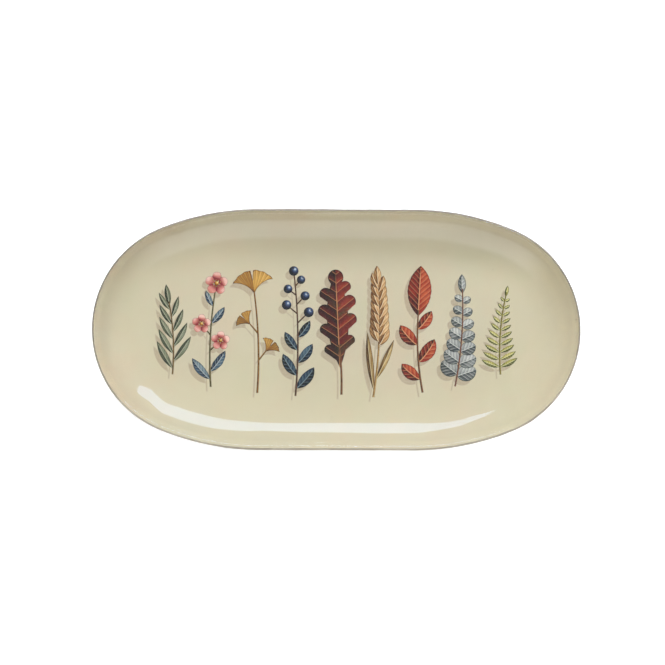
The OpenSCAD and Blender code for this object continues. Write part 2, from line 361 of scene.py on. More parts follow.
def leaf_ink(name, light, mid, dark, vein, spacing=2.4, slope=0.9, rib=0.26, lines=0.6, blush=None):
    """A printed leaf: one half in the light, one in the dark, the fields between its side veins
    rounded by light and shade, with a midrib, engraved lines and an outline. along, across and edge
    are in mm; u runs from -1 to 1 across the leaf, tip from 0 to 1 along it; tone is the leaf's own."""
    m = Nodes(name)
    al, ac, ed = m.attr("along"), m.attr("across"), m.attr("edge")
    tip, u, own = m.attr("tip"), m.attr("u"), m.attr("tone")
    mag = m.math("ABSOLUTE", ac)
    side = m.ramp(u, -0.12, 0.12)
    wash = m.noise(170, 4, 0.62)
    wobble = m.math("MULTIPLY", m.math("SUBTRACT", m.noise(300, 2, 0.5), 0.5), 0.7)
    p = m.math("ADD", m.math("MULTIPLY_ADD", mag, -slope, al), wobble)
    field = m.math("FRACT", m.math("MULTIPLY", p, 1.0 / spacing))
    fold = m.math("MULTIPLY", m.ramp(mag, 1.5, 0.0), m.math("MULTIPLY_ADD", side, 0.26, 0.10))
    tone = m.total(-0.24, (side, 0.44), (field, 0.36), (fold, 1.0), (m.ramp(ed, 1.1, 0.0), 0.20),
                   (m.ramp(tip, 0.5, 0.0), 0.26), (m.ramp(tip, 0.75, 1.0), 0.12), (wash, 0.62), (own, 0.30))
    tone = m.math("ADD", tone, 0.0, clamp=True)
    col = shaded(m, tone, light, mid, dark)
    if blush:
        b = m.ramp(m.noise(90, 3, 0.6, distort=0.6), 0.50, 0.64)
        col = m.mix(m.math("MULTIPLY", b, m.math("MULTIPLY_ADD", tone, -0.5, 0.85)), col, blush)
    hatch = m.ramp(m.math("PINGPONG", p, 0.17), 0.09, 0.15)
    col = m.mix(m.math("MULTIPLY", hatch, m.math("MULTIPLY_ADD", tone, 0.45, 0.05)), col, dark)
    v = m.ramp(m.math("PINGPONG", p, spacing / 2), 0.20, 0.06)
    v = m.math("MULTIPLY", v, m.ramp(ed, 0.15, 0.8))
    col = m.mix(m.math("MULTIPLY", v, lines), col, vein)
    spine = m.math("MULTIPLY", m.ramp(mag, rib, rib * 0.5), m.ramp(tip, 1.0, 0.7))
    col = m.mix(m.math("MULTIPLY", spine, 0.85), col, vein)
    return printed(m, col, dark, ed)


def fan_ink(name, light, mid, dark, vein):
    """A fan leaf: dark at its point, with folds and fine veins that spread to the outer edge."""
    m = Nodes(name)
    turn, ed = m.attr("across"), m.attr("edge")
    tip, u, own = m.attr("tip"), m.attr("u"), m.attr("tone")
    side = m.ramp(u, -0.06, 0.06)
    wash = m.noise(150, 4, 0.62)
    sway = m.math("MULTIPLY_ADD", m.math("SUBTRACT", m.noise(120, 2, 0.5), 0.5), 0.10, turn)
    fold = m.math("FRACT", m.math("MULTIPLY", sway, 1.0 / 0.19))
    tone = m.total(-0.26, (side, 0.34), (m.math("MULTIPLY", fold, m.ramp(tip, 0.15, 0.6)), 0.42),
                   (m.ramp(tip, 0.62, 0.05), 0.55), (m.ramp(ed, 0.9, 0.0), 0.22), (wash, 0.60), (own, 0.25))
    tone = m.math("ADD", tone, 0.0, clamp=True)
    col = shaded(m, tone, light, mid, dark)
    ray = m.ramp(m.math("PINGPONG", sway, 0.0475), 0.030, 0.044)
    col = m.mix(m.math("MULTIPLY", ray, m.math("MULTIPLY_ADD", tip, 0.30, 0.15)), col, vein)
    fine = m.ramp(m.math("PINGPONG", sway, 0.014), 0.006, 0.012)
    col = m.mix(m.math("MULTIPLY", fine, m.math("MULTIPLY_ADD", tone, 0.35, 0.08)), col, dark)
    return printed(m, col, dark, ed, 0.34)


def petal_ink(name, light, mid, dark):
    """A round petal: pale at its outer edge, deep by the heart, with streaks between. along runs
    outwards from -1 to 1; u is 1 on the side turned from the light."""
    m = Nodes(name)
    x, y, ed = m.attr("across"), m.attr("along"), m.attr("edge")
    u, own = m.attr("u"), m.attr("tone")
    spread = m.math("DIVIDE", x, m.math("ADD", y, 1.75))
    streak = m.ramp(m.math("PINGPONG", m.math("MULTIPLY_ADD", m.noise(500, 2, 0.5), 0.10, spread), 0.07), 0.03, 0.065)
    tone = m.total(-0.05, (m.ramp(y, 0.55, -0.75), 0.70), (m.ramp(u, -0.2, 1.0), 0.42), (streak, 0.16),
                   (m.noise(300, 3, 0.6), 0.16), (own, 0.22))
    tone = m.math("ADD", tone, 0.0, clamp=True)
    return printed(m, shaded(m, tone, light, mid, dark), dark, ed, 0.24)


def round_ink(name, light, mid, dark, spot, size):
    """A berry or a flower's heart: shaded from a lit spot to a dark edge."""
    m = Nodes(name)
    x, y, ed = m.attr("across"), m.attr("along"), m.attr("edge")
    dx, dy = m.math("SUBTRACT", x, 0.30), m.math("SUBTRACT", y, 0.36)
    d = m.math("SQRT", m.math("ADD", m.math("MULTIPLY", dx, dx), m.math("MULTIPLY", dy, dy)))
    bloom = m.ramp(m.noise(650, 3, 0.6), 0.35, 0.7)
    tone = m.math("ADD", m.total(0.0, (m.ramp(d, 0.05, 1.2), 1.0), (bloom, -0.12)), 0.0, clamp=True)
    col = shaded(m, tone, light, mid, dark)
    rim = m.math("MULTIPLY", m.ramp(d, 1.05, 1.32), m.ramp(ed, 0.1, 0.35))
    col = m.mix(m.math("MULTIPLY", rim, 0.45), col, mid)
    col = m.mix(m.ramp(d, size, size * 0.35), col, spot)
    return printed(m, col, dark, ed, 0.26)


def stalk_ink(name, light, dark):
    m = Nodes(name)
    u, ed = m.attr("u"), m.attr("edge")
    col = m.mix(m.ramp(u, -0.7, 0.5), light, dark)
    bark = m.ramp(m.noise(520, 3, 0.7), 0.42, 0.66)
    deep = tuple(c * 0.45 for c in dark[:3]) + (1.0,)
    col = m.mix(m.math("MULTIPLY", bark, 0.5), col, deep)
    return printed(m, col, dark, ed, 0.18)


GLASS, EDGE, PAPER, BACKING, FELT = clear_glass(), ground_edge(), cream_paper(), dark_backing(), felt()
CUT, SHADE = cut_edge(), shade_ink()

# ------------------------------------------------------------------ glass
N = 480
RIMLINE = outline(N)


def ring(s, z):
    return [(x - nx * s, y - ny * s, z) for (x, y), (nx, ny) in RIMLINE]


def flat_rows(z, inset, steps, towards_rim=True):
    """Rows that fill the flat of the base at a height, from the middle out or from the edge in."""
    edge = ring(inset, z)
    rows = [[(0.0, 0.0, z)]]
    for k in range(1, steps):
        f = k / steps
        rows.append([(x * f, y * f, z) for x, y, _ in edge])
    return rows if towards_rim else rows[::-1]


def bend_row(r, a):
    return ring(INSET - r * math.sin(a), Z_BEND - r * math.cos(a))


def wave(x, y):
    """Slow waviness of hand-slumped glass, mm."""
    return 0.085 * n3(x / 26, y / 26, 3.1) + 0.02 * n3(x / 9, y / 9, 7.7)


def ripple(x, y, a):
    """Shallow dips along the near rim at its two shoulders, mm; a is the slope of the rim."""
    def dip(depth, mid, spread):
        return -depth * math.exp(-(BEND_R * (math.sin(a) - math.sin(math.radians(mid))) / spread) ** 2)
    if y > 0:
        return 0.0
    right = 0.22 * smooth(x, 38.0, 56.0) + 0.18 * smooth(x, 62.0, 72.0)
    left = 0.15 * smooth(-x, 22.0, 46.0)
    return (dip(right * smooth(x, 106.0, 86.0), 28.0 - 4.0 * smooth(x, 62.0, 72.0), 3.5)
            + dip(left * smooth(-x, 94.0, 72.0), 19.6, 4.0))


def build_glass():
    top = Z_GLASS + GLASS_T
    rows = flat_rows(top, INSET, 26)
    inner = [bend_row(BEND_R, RIM * j / 40) for j in range(41)]
    rows += inner
    # the upper face is a little wavy; the wave dies out at the polished edge
    shaped, total = [], len(rows)
    for j, row in enumerate(rows):
        lift = min(1.0, (total - 1 - j) / 8)
        calm = 0.45 if j < 26 else 0.45 + 0.55 * min(1.0, (j - 26) / 12)
        a = RIM * max(0, j - 26) / 40
        shaped.append([(x, y, z + lift * calm * wave(x, y) + ripple(x, y, a)) for x, y, z in row])
    rows = shaped
    cx, cz = BEND_MID * 0.8, BEND_MID * 0.6
    first_edge = len(rows) - 1
    for j in range(1, 13):                                    # round edge, inner face to outer face
        t = math.pi * j / 13
        # unit vectors: radial (0.8, -0.6) outwards and along the slope (0.6, 0.8)
        r = -math.cos(t) * GLASS_T / 2
        q = math.sin(t) * GLASS_T / 2
        rows.append(ring(INSET - (cx + r * 0.8 + q * 0.6), Z_BEND - cz - r * 0.6 + q * 0.8))
    last_edge = len(rows)
    rows += [bend_row(BEND_OUT, RIM * (1 - j / 40)) for j in range(41)]
    rows += flat_rows(Z_GLASS, INSET, 12, False)
    verts, faces = lathe(rows, N)
    face_mats = []
    for j in range(len(rows) - 1):
        face_mats += [1 if first_edge + 5 <= j < last_edge else 0] * N
    return new_object("tray_glass", verts, faces, [GLASS, EDGE], face_mats)


# ------------------------------------------------------------------ papers and felt
def skin(name, over, under, trim, mats, puck=0.0):
    """A sheet under the glass between two depths, mm below its lower face, cut off trim(i) mm
    short of the polished edge."""
    ends = [RIM - trim(i) / BEND_OUT for i in range(N)]
    steps = 30

    def row(depth, f, wrinkle=0.0):
        out = []
        for i, ((x, y), (nx, ny)) in enumerate(RIMLINE):
            a = ends[i] * f
            d = depth
            if wrinkle:
                turn = 2 * math.pi * i / N
                pleat = n3(14 * math.cos(turn), 14 * math.sin(turn), 5.0 + f * 1.3)
                d -= wrinkle * max(0.0, pleat) * f
            r = BEND_OUT + d
            s, z = INSET - r * math.sin(a), Z_BEND - r * math.cos(a)
            out.append((x - nx * s, y - ny * s, z))
        return out

    rows = flat_rows(Z_GLASS - over, INSET, 14)
    rows += [row(over, j / steps) for j in range(steps + 1)]
    edge = len(rows) - 1
    rows += [row(under, 1 - j / steps, puck) for j in range(steps + 1)]
    rows += flat_rows(Z_GLASS - under, INSET, 14, False)
    verts, faces = lathe(rows, N)
    face_mats = []
    for j in range(len(rows) - 1):
        face_mats += [1 if j == edge and len(mats) > 1 else 0] * N
    return new_object(name, verts, faces, mats, face_mats)


def ground_trim(i):
    x, y = RIMLINE[i][0]
    return 0.62 + 0.34 * n3(x / 9, y / 9, 1.7) + 0.12 * n3(x / 2.5, y / 2.5, 9.0)


def backing_trim(i):
    x, y = RIMLINE[i][0]
    t = 0.26 + 0.24 * n3(x / 12, y / 12, 4.2) + 0.10 * n3(x / 3.2, y / 3.2, 8.3)
    if y < -20:
        t += 0.22 * max(0.0, 1 - abs(x + 92) / 46)
    return min(0.62, max(0.0, t))


def build_felt():
    low, high = 0.0, Z_BACK + 0.01
    def edge(z, pull):
        out = []
        for (x, y), (nx, ny) in RIMLINE:
            s = INSET + FELT_INSET + pull + 0.10 * (1 + n3(x / 1.3, y / 1.3, z * 2)) + 0.05 * n3(x / 5, y / 5, 2.0)
            out.append((x - nx * s, y - ny * s, z))
        return out
    def fill(z, out):
        e = edge(z, 0.16)
        rows = [[(0.0, 0.0, z)]]
        for k in range(1, 10):
            f = k / 10
            rows.append([(x * f, y * f, z) for x, y, _ in e])
        return rows if out else rows[::-1]
    rows = fill(high, True)
    rows += [edge(high, 0.16), edge(high - 0.14, 0.03), edge(0.75, 0.0), edge(0.35, 0.0), edge(0.12, 0.04), edge(low, 0.16)]
    rows += fill(low, False)
    verts, faces = lathe(rows, N)
    return new_object("pad_felt", verts, faces, [FELT])


glass = build_glass()
paper = skin("paper_ground", -0.02, GROUND_T - 0.02, ground_trim, [PAPER, CUT])
backing = skin("sheet_backing", GROUND_T - 0.04, GROUND_T + BACK_T, backing_trim, [BACKING], 0.12)
pad = build_felt()


# ------------------------------------------------------------------ plant pictures
PIC = min((HALF_W - INSET) / 37.6, (HALF_L - INSET) / 101)
PITCH = 21 * ((HALF_L - INSET) / 101)
SHADOW = (-2.0, -2.3)
LIGHT = (0.61, 0.79)                              # the light in the pictures, as their shadows fall
COLS = (-1.0, -0.9, -0.74, -0.5, -0.26, -0.09, 0.0, 0.09, 0.26, 0.5, 0.74, 0.9, 1.0)
KEYS = ("along", "across", "edge", "tip", "u", "tone")


def heading(t, l, b):
    """Angle from +Y, in degrees, of a stem of length l that turns through b, at the length t."""
    return b * (t / l - 0.5)


def spot(t, l, b):
    r, h, e = l / math.radians(b), math.radians(heading(t, l, b)), math.radians(b / 2)
    return (r * (math.cos(h) - math.cos(e)), r * (math.sin(h) + math.sin(e)))


def away(p, a, d):
    """The point at a distance d from p along angle a from +Y."""
    return (p[0] - d * math.sin(math.radians(a)), p[1] + d * math.cos(math.radians(a)))


class Cutout:
    """One cut-out: thin slabs of printed paper that lie against the glass."""

    def __init__(self, name, place, height, lean):
        self.name, self.place, self.h, self.lean = name, place, height, math.radians(lean)
        self.v, self.f, self.fm, self.mats = [], [], [], [CUT, SHADE]
        self.at = {k: [] for k in KEYS}
        self.count = 0

    def lay(self, x, y, shift):
        y -= self.h / 2
        c, s = math.cos(self.lean), math.sin(self.lean)
        x, y = x * c - y * s, x * s + y * c
        return (self.place * PITCH + PIC * x + shift[0], PIC * y + shift[1])

    def mat(self, m):
        if m not in self.mats:
            self.mats.append(m)
        return self.mats.index(m)

    def own(self):
        return n3(self.count * 0.73 + 0.4, self.place * 1.37 + 0.2, 2.6)

    def dark_side(self, a):
        """1 where the right side of a shape that points along a is turned from the light, else -1."""
        a += self.lean
        return 1.0 if math.cos(a) * LIGHT[0] + math.sin(a) * LIGHT[1] < 0 else -1.0

    def add(self, x, y, z, vals):
        self.v.append((x, y, z))
        for k, q in zip(KEYS, vals):
            self.at[k].append(q)

    def height(self, shadow, level):
        return Z_GLASS + (0.05 if shadow else 0.08 + 0.03 * level) + 0.0006 * self.count

    def sides(self, loop, low):
        """Cut sides and under face below a boundary loop."""
        n, d = len(loop), len(self.v)
        for i in loop:
            x, y, _ = self.v[i]
            self.add(x, y, low, [self.at[k][i] for k in KEYS])
        for i in range(n):
            j = (i + 1) % n
            self.f.append((loop[j], loop[i], d + i, d + j))
            self.fm.append(0)
        self.f.append(tuple(d + i for i in range(n - 1, -1, -1)))
        self.fm.append(0)

    def slab(self, grid, mat, level, shade=True):
        """grid: rows of (x, y, along, across, edge, tip, u), the same number in each. Draws it and
        its shadow."""
        own = self.own()
        for shadow in ((True, False) if shade else (False,)):
            top = self.height(shadow, level)
            shift = SHADOW if shadow else (0.0, 0.0)
            m = 1 if shadow else self.mat(mat)
            nr, nc, b = len(grid), len(grid[0]), len(self.v)
            for row in grid:
                for q in row:
                    px, py = self.lay(q[0], q[1], shift)
                    self.add(px, py, top, q[2:] + (own,))
            for r in range(nr - 1):
                for c in range(nc - 1):
                    a = b + r * nc + c
                    self.f.append((a, a + 1, a + nc + 1, a + nc))
                    self.fm.append(m)
            loop = [b + c for c in range(nc)] + [b + r * nc + nc - 1 for r in range(1, nr)]
            loop += [b + (nr - 1) * nc + c for c in range(nc - 2, -1, -1)] + [b + r * nc for r in range(nr - 2, 0, -1)]
            self.sides(loop, top - 0.025)
        self.count += 1

    def leaf(self, p, a, l, s1, s2, mat, level=0, rows=20, teeth=0.0):
        a = math.radians(a)
        r1, r2 = (l * l / 4 + s1 * s1) / (2 * s1), (l * l / 4 + s2 * s2) / (2 * s2)
        ca, sa, dark = math.cos(a), math.sin(a), self.dark_side(a)
        grid = []
        for i in range(rows):
            t = 0.5 - 0.5 * math.cos(math.pi * (0.03 + 0.94 * i / (rows - 1)))
            t = l * (t - 0.0022) / (1 - 0.0044)
            hl = max(0.02, math.sqrt(max(0.0, r1 * r1 - (t - l / 2) ** 2)) - (r1 - s1))
            hr = max(0.02, math.sqrt(max(0.0, r2 * r2 - (t - l / 2) ** 2)) - (r2 - s2))
            mid, hw = (hr - hl) / 2, (hr + hl) / 2
            row = []
            for v in COLS:
                notch = (t * 0.8 + (0.3 if v > 0 else 0.0)) % 1.0
                k = 1 - teeth * notch * abs(v) ** 6
                x = mid + v * hw * k
                row.append((p[0] + x * ca - t * sa, p[1] + x * sa + t * ca, t, dark * v * hw, (1 - abs(v)) * hw,
                            t / l, dark * v))
            grid.append(row)
        self.slab(grid, mat, level)

    def side_leaf(self, t, l, b, a, length, s, mat, level=0, rows=20, teeth=0.0):
        s1, s2 = (s, 0.6 * s) if a > 0 else (0.6 * s, s)
        self.leaf(spot(t, l, b), heading(t, l, b) + a, length, s1, s2, mat, level, rows, teeth)

    def rod(self, path, w, mat, level):
        """A stem along a path of (x, y, heading), thinner towards its end."""
        grid, n = [], len(path) - 1
        for i, (x, y, h) in enumerate(path):
            h = math.radians(h)
            dark = self.dark_side(h)
            hw = w / 2 * (1.0 - 0.3 * i / n)
            row = []
            for v in (-1.0, -0.5, 0.0, 0.5, 1.0):
                row.append((x + v * hw * math.cos(h), y + v * hw * math.sin(h), float(i), dark * v * hw,
                            (1 - abs(v)) * hw, i / n, dark * v))
            grid.append(row)
        self.slab(grid, mat, level)

    def stem(self, l, b, w, mat, level=1):
        n = max(6, int(l / 2))
        self.rod([spot(l * i / n, l, b) + (heading(l * i / n, l, b),) for i in range(n + 1)], w, mat, level)

    def stalk(self, p, a, l, w, mat, level=1):
        self.rod([away(p, a, l * i / 5) + (a,) for i in range(6)], w, mat, level)

    def disc(self, p, r, mat, level=2, turn=0.0, n=28, shade=True, wave=0.0):
        """A round spot; along and across run from -1 to 1, turned by an angle."""
        own = self.own()
        rings = (0.45, 0.75, 0.9, 1.0)
        c0, s0 = math.cos(turn), math.sin(turn)
        for shadow in ((True, False) if shade else (False,)):
            top = self.height(shadow, level)
            shift = SHADOW if shadow else (0.0, 0.0)
            m = 1 if shadow else self.mat(mat)
            b = len(self.v)
            for i in range(n):
                t = 2 * math.pi * i / n
                for k in rings:
                    kk = k * (1 - wave * k ** 4 * (0.5 + 0.5 * math.sin(5 * t + 1.7 * self.count)))
                    x, y = kk * math.cos(t), kk * math.sin(t)
                    px, py = self.lay(p[0] + r * x, p[1] + r * y, shift)
                    self.add(px, py, top, (y * c0 - x * s0, x * c0 + y * s0, (1 - k) * r, k,
                                           -(x * LIGHT[0] + y * LIGHT[1]), own))
            w, mid = len(rings), len(self.v)
            px, py = self.lay(p[0], p[1], shift)
            self.add(px, py, top, (0.0, 0.0, r, 0.0, 0.0, own))
            for i in range(n):
                j = (i + 1) % n
                self.f.append((mid, b + i * w, b + j * w))
                self.fm.append(m)
                for c in range(w - 1):
                    self.f.append((b + i * w + c, b + i * w + c + 1, b + j * w + c + 1, b + j * w + c))
                    self.fm.append(m)
            self.sides([b + i * w + w - 1 for i in range(n)], top - 0.025)
        self.count += 1

    def fan(self, p, a, r, half, mat, level=0, neck=24):
        a, half, neck = math.radians(a), math.radians(half), math.radians(neck)
        dark = self.dark_side(a)
        for sgn in (-1, 1):
            grid = []
            rows = 20
            for i in range(rows + 1):
                q = 0.03 + 0.97 * i / rows
                wide = neck + math.asin(min(1.0, q * math.sin(half - neck)))
                notch = 0.0 if q < 0.55 else math.atan(0.07 * (q - 0.55) / 0.55 / q)
                row = []
                for c in range(12):
                    ang = notch + (wide - notch) * c / 11
                    rad = q * r * (1 - 0.030 * q ** 6 * (0.5 + 0.5 * math.sin(ang * 19 + sgn)))
                    turn = a - sgn * ang
                    ed = min((wide - ang) * rad, (1 - q) * r)
                    if q >= 0.55:
                        ed = min(ed, (ang - notch) * rad + 0.02)
                    row.append((p[0] - rad * math.sin(turn), p[1] + rad * math.cos(turn), rad, sgn * ang, max(0.0, ed), q,
                                dark * sgn * ang / wide))
                grid.append(row if sgn > 0 else row[::-1])
            self.slab(grid, mat, level)

    def lobed(self, base, length, swell, lobes, angle, crown, mat, level=0):
        """A leaf with round lobes that follow its side veins: a lens, lobes of (side, height, length,
        radius) at an angle from its midrib, and a round crown of (height, radius)."""
        rc = (length * length / 4 + swell * swell) / (2 * swell)
        sn, cs = math.sin(math.radians(angle)), math.cos(math.radians(angle))

        def inside(x, y):
            t = y - base
            if 0 < t < length and abs(x) < math.sqrt(rc * rc - (t - length / 2) ** 2) - (rc - swell):
                return True
            if x * x + (y - crown[0]) ** 2 < crown[1] ** 2:
                return True
            for side, y0, l, r in lobes:
                u, v = -side * x * sn + (y - y0) * cs, -side * x * cs - (y - y0) * sn
                if (0 < u < l and abs(v) < 0.92 * r) or (u - l) ** 2 + v * v < r * r:
                    return True
            return False

        dark = self.dark_side(0.0)
        cols = tuple(v for v in COLS if v < 0) + (-0.012, 0.012) + tuple(v for v in COLS if v > 0)
        grid, rows, top = [], 170, crown[0] + crown[1] - 0.03
        for i in range(rows):
            y = base + 0.05 + (top - base - 0.05) * i / (rows - 1)
            reach = {}
            for sgn in (-1, 1):
                d = 0.0
                while inside(sgn * (d + 0.04) * sn, y + (d + 0.04) * cs):
                    d += 0.04
                reach[sgn] = max(d, 0.02)
            row = []
            for v in cols:
                sgn = 1 if v > 0 else -1
                d = abs(v) * reach[sgn]
                start = 24.3 if sgn > 0 else 20.0
                row.append((sgn * d * sn, y + d * cs, y - start + 38.0, dark * sgn * d, (1 - abs(v)) * reach[sgn] * 0.8,
                            (y - base) / (top - base), dark * v))
            grid.append(row)
        self.slab(grid, mat, level)

    def flower(self, p, r, petal, heart, stamen):
        for i in (0, 2, 4, 1, 3):
            t = math.radians(72 * i)
            self.disc(away(p, 72 * i, r), r * 0.68, petal, 2, turn=t, n=36, wave=0.05)
        self.disc(p, r * 0.34, heart, 4, n=18, shade=False)
        for i in range(9):
            self.disc(away(p, 40 * i + 12, r * (0.50 + 0.10 * (i % 2))), r * 0.085, stamen, 4, n=8, shade=False)

    def build(self):
        return new_object(self.name, self.v, self.f, self.mats, self.fm, False, self.at)


def willow():
    c = Cutout("cut_willow", -4.1, 47, 3)
    ink = leaf_ink("willow_ink", srgb(160, 164, 138), srgb(92, 100, 78), srgb(36, 44, 34), srgb(184, 186, 158), 2.0, 2.2, 0.24, 0.4)
    twig = stalk_ink("willow_twig", srgb(148, 120, 76), srgb(84, 62, 36))
    for i in range(9):
        c.side_leaf(3 + 3.8 * i, 38, 16, (1 if i % 2 == 0 else -1) * (34 - 1.2 * i), 16.5 - 0.7 * i, 2.3 - 0.08 * i, ink, teeth=0.05)
    c.leaf(spot(36, 38, 16), 7, 11, 1.6, 1.5, ink)
    c.stem(38, 16, 0.9, twig)
    return c.build(), "willow"


def blossom():
    c = Cutout("cut_blossom", -3.02, 60, -3)
    ink = leaf_ink("blossom_leaf_ink", srgb(136, 154, 160), srgb(60, 86, 108), srgb(18, 32, 54), srgb(176, 190, 192), 2.1, 1.1)
    twig = stalk_ink("blossom_twig", srgb(130, 118, 80), srgb(70, 64, 42))
    petal = petal_ink("petal_ink", srgb(240, 204, 190), srgb(212, 128, 118), srgb(138, 44, 54))
    heart = round_ink("flower_heart_ink", srgb(232, 192, 98), srgb(190, 130, 50), srgb(104, 58, 24), srgb(244, 222, 150), 0.35)
    stamen = round_ink("stamen_ink", srgb(240, 214, 130), srgb(212, 160, 70), srgb(140, 84, 34), srgb(248, 232, 170), 0.35)
    for t, a, l, w in ((4, 38, 14.5, 3), (8, -38, 13.5, 2.9), (33, -34, 11, 2.4), (42, 32, 9, 2)):
        c.side_leaf(t, 54, -14, a, l, w, ink, teeth=0.10)
    flowers = []
    for t, a in ((27, 42), (19, -46)):
        p, a = spot(t, 54, -14), heading(t, 54, -14) + a
        c.stalk(p, a, 7.5, 0.8, twig)
        flowers.append((away(p, a, 7.5), 3.0))
    c.stem(54, -14, 1.0, twig)
    for p, r in flowers + [(spot(54, 54, -14), 3.6)]:
        c.flower(p, r, petal, heart, stamen)
    return c.build(), "blossom"


def ginkgo():
    c = Cutout("cut_ginkgo", -2, 66, 2)
    ink = fan_ink("ginkgo_ink", srgb(224, 176, 88), srgb(166, 110, 36), srgb(84, 42, 12), srgb(238, 208, 138))
    twig = stalk_ink("ginkgo_twig", srgb(170, 122, 64), srgb(92, 56, 26))
    c.fan(spot(51.5, 53, 12), 5, 12.6, 58, ink)
    for t, a, l, f in ((31, 38, 6.5, 44), (17, -38, 6, -42)):
        p, a = spot(t, 53, 12), heading(t, 53, 12) + a
        c.fan(away(p, a, l - 0.6), f, 7.6, 50, ink)
        c.stalk(p, a, l, 0.9, twig)
    c.stem(53, 12, 1.1, twig)
    return c.build(), "ginkgo"


def berry():
    c = Cutout("cut_berry", -1.03, 69, 1)
    ink = leaf_ink("berry_leaf_ink", srgb(76, 102, 118), srgb(24, 48, 72), srgb(5, 10, 20), srgb(128, 150, 158), 2.3, 1.0)
    twig = stalk_ink("berry_twig", srgb(118, 82, 60), srgb(54, 32, 26))
    fruit = round_ink("berry_ink", srgb(74, 98, 138), srgb(24, 38, 70), srgb(5, 8, 18), srgb(206, 216, 228), 0.30)
    eye = round_ink("berry_eye_ink", srgb(40, 34, 40), srgb(20, 16, 24), srgb(6, 5, 8), srgb(60, 54, 60), 0.3)
    for i in range(5):
        c.side_leaf(4 + 6.6 * i, 65, 12, (-1 if i % 2 == 0 else 1) * 36, 14.4 - 0.9 * i, 3.6 - 0.22 * i, ink, teeth=0.04)
    fruits = []
    for i in range(5):
        t, l = 38 + 4.8 * i, 8 - 0.9 * i
        p, a = spot(t, 65, 12), heading(t, 65, 12) + (-1 if i % 2 == 0 else 1) * 48
        c.stalk(p, a, l, 0.8, twig)
        fruits.append((away(p, a, l), 2.6 - 0.1 * i, a))
    c.stem(65, 12, 1.0, twig)
    for p, r, a in fruits + [(spot(65, 65, 12), 2.5, 6)]:
        c.disc(p, r, fruit, 3)
        c.disc(away(p, a, r * 0.62), r * 0.17, eye, 4, n=9, shade=False)
    return c.build(), "berry"


def oak():
    c = Cutout("cut_oak", 0.05, 67.5, 3)
    ink = leaf_ink("oak_ink", srgb(176, 68, 46), srgb(106, 30, 28), srgb(34, 9, 13), srgb(208, 142, 92), 4.75, 0.0, 0.42, 0.8,
                   srgb(56, 66, 38))
    twig = stalk_ink("oak_twig", srgb(150, 98, 60), srgb(78, 44, 28))
    lobes = ((1, 20, 6.2, 2.7), (1, 29.5, 8, 3.1), (1, 39, 8.2, 3.4), (1, 48.5, 7, 3.2),
             (-1, 24, 7, 2.8), (-1, 34, 8.2, 3.3), (-1, 43.5, 8, 3.4), (-1, 52.5, 5.8, 3))
    c.lobed(14, 50.5, 5.6, lobes, 54, (61, 4.0), ink)
    c.stem(26, 10, 1.2, twig)
    return c.build(), "oak"


def wheat():
    c = Cutout("cut_wheat", 0.98, 70, -2)
    grain = leaf_ink("wheat_ink", srgb(238, 208, 156), srgb(192, 142, 90), srgb(100, 60, 30), srgb(246, 226, 182), 3.4, 2.4, 0.22, 0.3)
    blade = leaf_ink("wheat_blade_ink", srgb(208, 182, 124), srgb(150, 116, 68), srgb(76, 52, 28), srgb(226, 206, 154), 7.0, 5.0, 0.22, 0.35)
    straw = stalk_ink("wheat_straw", srgb(214, 178, 116), srgb(136, 98, 54))
    c.side_leaf(3, 62, 14, 15, 31, 2.2, blade)
    c.side_leaf(9, 62, 14, -17, 23, 2.0, blade)
    c.stem(62, 14, 1.1, straw, 0)
    for i in range(7):
        for s in (-1, 1):
            c.side_leaf(28 + 4.6 * i + s * 0.9, 62, 14, s * (22 - 0.6 * i), 11 - 0.35 * i, 3 - 0.1 * i, grain, 1)
    c.leaf(spot(58.5, 62, 14), 7, 10, 2, 2, grain, 2)
    return c.build(), "wheat"


def beech():
    c = Cutout("cut_beech", 2.06, 65, 3)
    ink = leaf_ink("beech_ink", srgb(210, 102, 64), srgb(152, 46, 30), srgb(54, 8, 10), srgb(228, 156, 108), 2.7, 0.95, 0.34)
    twig = stalk_ink("beech_twig", srgb(150, 102, 66), srgb(76, 44, 28))
    for t, a, l, w in ((7, 42, 12.6, 4.2), (16, -40, 14.5, 4.6), (25, 40, 13.5, 4.5), (33, -36, 12, 3.8)):
        c.side_leaf(t, 43, -16, a, l, w, ink, rows=28, teeth=0.06)
    c.leaf(spot(40, 43, -16), -6, 26, 6.3, 6.3, ink, rows=44, teeth=0.05)
    c.stem(43, -16, 1.1, twig)
    return c.build(), "beech"


def eucalyptus():
    c = Cutout("cut_eucalyptus", 3.04, 58.5, -4)
    ink = leaf_ink("eucalyptus_ink", srgb(212, 213, 206), srgb(150, 153, 150), srgb(66, 72, 74), srgb(228, 229, 221), 2.0, 0.8, 0.22, 0.45)
    twig = stalk_ink("eucalyptus_twig", srgb(160, 112, 92), srgb(88, 54, 46))
    for i in range(7):
        for s in (-1, 1):
            l = 10.4 - 0.95 * i
            c.leaf(spot(6 + 6.4 * i + s * 0.5, 51, 14), heading(6 + 6.4 * i, 51, 14) + s * 62, l, 0.42 * l, 0.42 * l, ink, rows=24)
    c.leaf(spot(48.5, 51, 14), 6, 10, 2.2, 2, ink)
    c.stem(51, 14, 0.9, twig)
    return c.build(), "eucalyptus"


